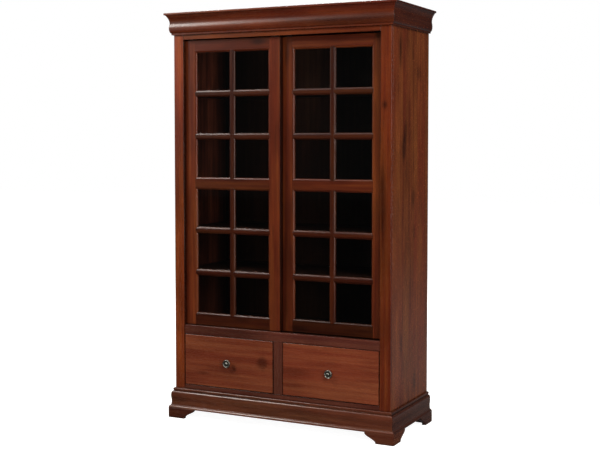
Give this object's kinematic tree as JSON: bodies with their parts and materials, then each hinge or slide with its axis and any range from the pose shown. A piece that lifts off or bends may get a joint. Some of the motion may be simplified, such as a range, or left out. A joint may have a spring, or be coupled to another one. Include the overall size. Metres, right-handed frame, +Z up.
{
  "type": "bookcase with sliding glazed doors",
  "caption": "Tall free-standing bookcase with bypass sliding divided-light glass doors over a row of inset drawers, under a crown moulding and on bracket feet.",
  "frame": {"origin": "on the floor, under the centre of the bounding box", "axes": "+Z up, +X to the right seen from the front, +Y towards the back; the doors and drawers face -Y"},
  "size_m": [1.299, 0.5476, 2.12],
  "materials": {
    "stained_cherry": "dark cherry stain under satin lacquer",
    "stained_inside": "dark cherry stain, satin",
    "pale_maple": "clear satin lacquer",
    "clear_glass": "clear float glass",
    "dark_pewter": "aged pewter, rubbed",
    "zinc_steel": "zinc plated",
    "track_aluminium": "mill finish",
    "black_nylon": "moulded"
  },
  "bodies": {
    "case": {"side_panel_left": "stained_cherry", "side_panel_right": "stained_cherry", "back_panel": "stained_inside", "case_top": "stained_inside", "case_deck": "stained_inside", "case_bottom": "stained_inside", "drawer_divider": "stained_inside", "top_board": "stained_cherry", "frame_stile_left": "stained_cherry", "frame_stile_right": "stained_cherry", "frame_centre_stile": "stained_cherry", "frame_top_rail": "stained_cherry", "frame_middle_rail": "stained_cherry", "frame_bottom_rail": "stained_cherry", "crown_moulding": "stained_cherry", "base_moulding": "stained_cherry", "front_left_foot": "stained_cherry", "front_right_foot": "stained_cherry", "rear_left_foot": "stained_cherry", "rear_right_foot": "stained_cherry", "fixed_shelf": "stained_inside", "shelf_1": "stained_inside", "shelf_2": "stained_inside", "shelf_3": "stained_inside", "shelf_4": "stained_inside", "shelf_pins": "zinc_steel", "door_jambs": "stained_inside", "upper_track": "stained_inside", "lower_track": "track_aluminium", "slide_packers": "stained_inside", "slide_channels": "zinc_steel"},
    "left_door": {"left_door_stiles": "stained_cherry", "left_door_rails": "stained_cherry", "left_door_glazing_bars": "stained_cherry", "left_door_glass": "clear_glass", "left_door_glass_beads": "stained_cherry", "left_door_wheel_housings": "zinc_steel", "left_door_guides": "black_nylon"},
    "left_door_wheel_1": {"left_door_wheel_1": "black_nylon"},
    "left_door_wheel_2": {"left_door_wheel_2": "black_nylon"},
    "right_door": {"right_door_stiles": "stained_cherry", "right_door_rails": "stained_cherry", "right_door_glazing_bars": "stained_cherry", "right_door_glass": "clear_glass", "right_door_glass_beads": "stained_cherry", "right_door_wheel_housings": "zinc_steel", "right_door_guides": "black_nylon"},
    "right_door_wheel_1": {"right_door_wheel_1": "black_nylon"},
    "right_door_wheel_2": {"right_door_wheel_2": "black_nylon"},
    "left_drawer": {"left_drawer_front": "stained_cherry", "left_drawer_box": "pale_maple", "left_drawer_knob": "dark_pewter", "left_drawer_slide_inner": "zinc_steel"},
    "left_drawer_middle_slide": {"left_drawer_slide_middle": "zinc_steel"},
    "right_drawer": {"right_drawer_front": "stained_cherry", "right_drawer_box": "pale_maple", "right_drawer_knob": "dark_pewter", "right_drawer_slide_inner": "zinc_steel"},
    "right_drawer_middle_slide": {"right_drawer_slide_middle": "zinc_steel"}
  },
  "joints": [
    {"name": "left_door_slide", "type": "slide", "parent": "case", "child": "left_door", "axis": [1, 0, 0], "range_m": [0, 0.555]},
    {"name": "left_door_wheel_1_spin", "type": "hinge", "parent": "left_door", "child": "left_door_wheel_1", "pos_m": [-0.522, -0.20125, 0.5019], "axis": [0, 1, 0], "range_deg": [0, 2700]},
    {"name": "left_door_wheel_2_spin", "type": "hinge", "parent": "left_door", "child": "left_door_wheel_2", "pos_m": [-0.033, -0.20125, 0.5019], "axis": [0, 1, 0], "range_deg": [0, 2700]},
    {"name": "right_door_slide", "type": "slide", "parent": "case", "child": "right_door", "axis": [1, 0, 0], "range_m": [-0.555, 0]},
    {"name": "right_door_wheel_1_spin", "type": "hinge", "parent": "right_door", "child": "right_door_wheel_1", "pos_m": [0.033, -0.17525, 0.5019], "axis": [0, 1, 0], "range_deg": [-2700, 0]},
    {"name": "right_door_wheel_2_spin", "type": "hinge", "parent": "right_door", "child": "right_door_wheel_2", "pos_m": [0.522, -0.17525, 0.5019], "axis": [0, 1, 0], "range_deg": [-2700, 0]},
    {"name": "left_drawer_slide", "type": "slide", "parent": "case", "child": "left_drawer", "axis": [0, -1, 0], "range_m": [0, 0.42]},
    {"name": "left_middle_slide", "type": "slide", "parent": "case", "child": "left_drawer_middle_slide", "axis": [0, -1, 0], "range_m": [0, 0.21]},
    {"name": "right_drawer_slide", "type": "slide", "parent": "case", "child": "right_drawer", "axis": [0, -1, 0], "range_m": [0, 0.42]},
    {"name": "right_middle_slide", "type": "slide", "parent": "case", "child": "right_drawer_middle_slide", "axis": [0, -1, 0], "range_m": [0, 0.21]}
  ],
  "couplings": [
    {"joint": "left_door_wheel_1_spin", "follows": "left_door_slide", "rad_per_m": 83.333},
    {"joint": "left_door_wheel_2_spin", "follows": "left_door_slide", "rad_per_m": 83.333},
    {"joint": "right_door_wheel_1_spin", "follows": "right_door_slide", "rad_per_m": 83.333},
    {"joint": "right_door_wheel_2_spin", "follows": "right_door_slide", "rad_per_m": 83.333},
    {"joint": "left_middle_slide", "follows": "left_drawer_slide", "ratio": 0.5},
    {"joint": "right_middle_slide", "follows": "right_drawer_slide", "ratio": 0.5}
  ]
}
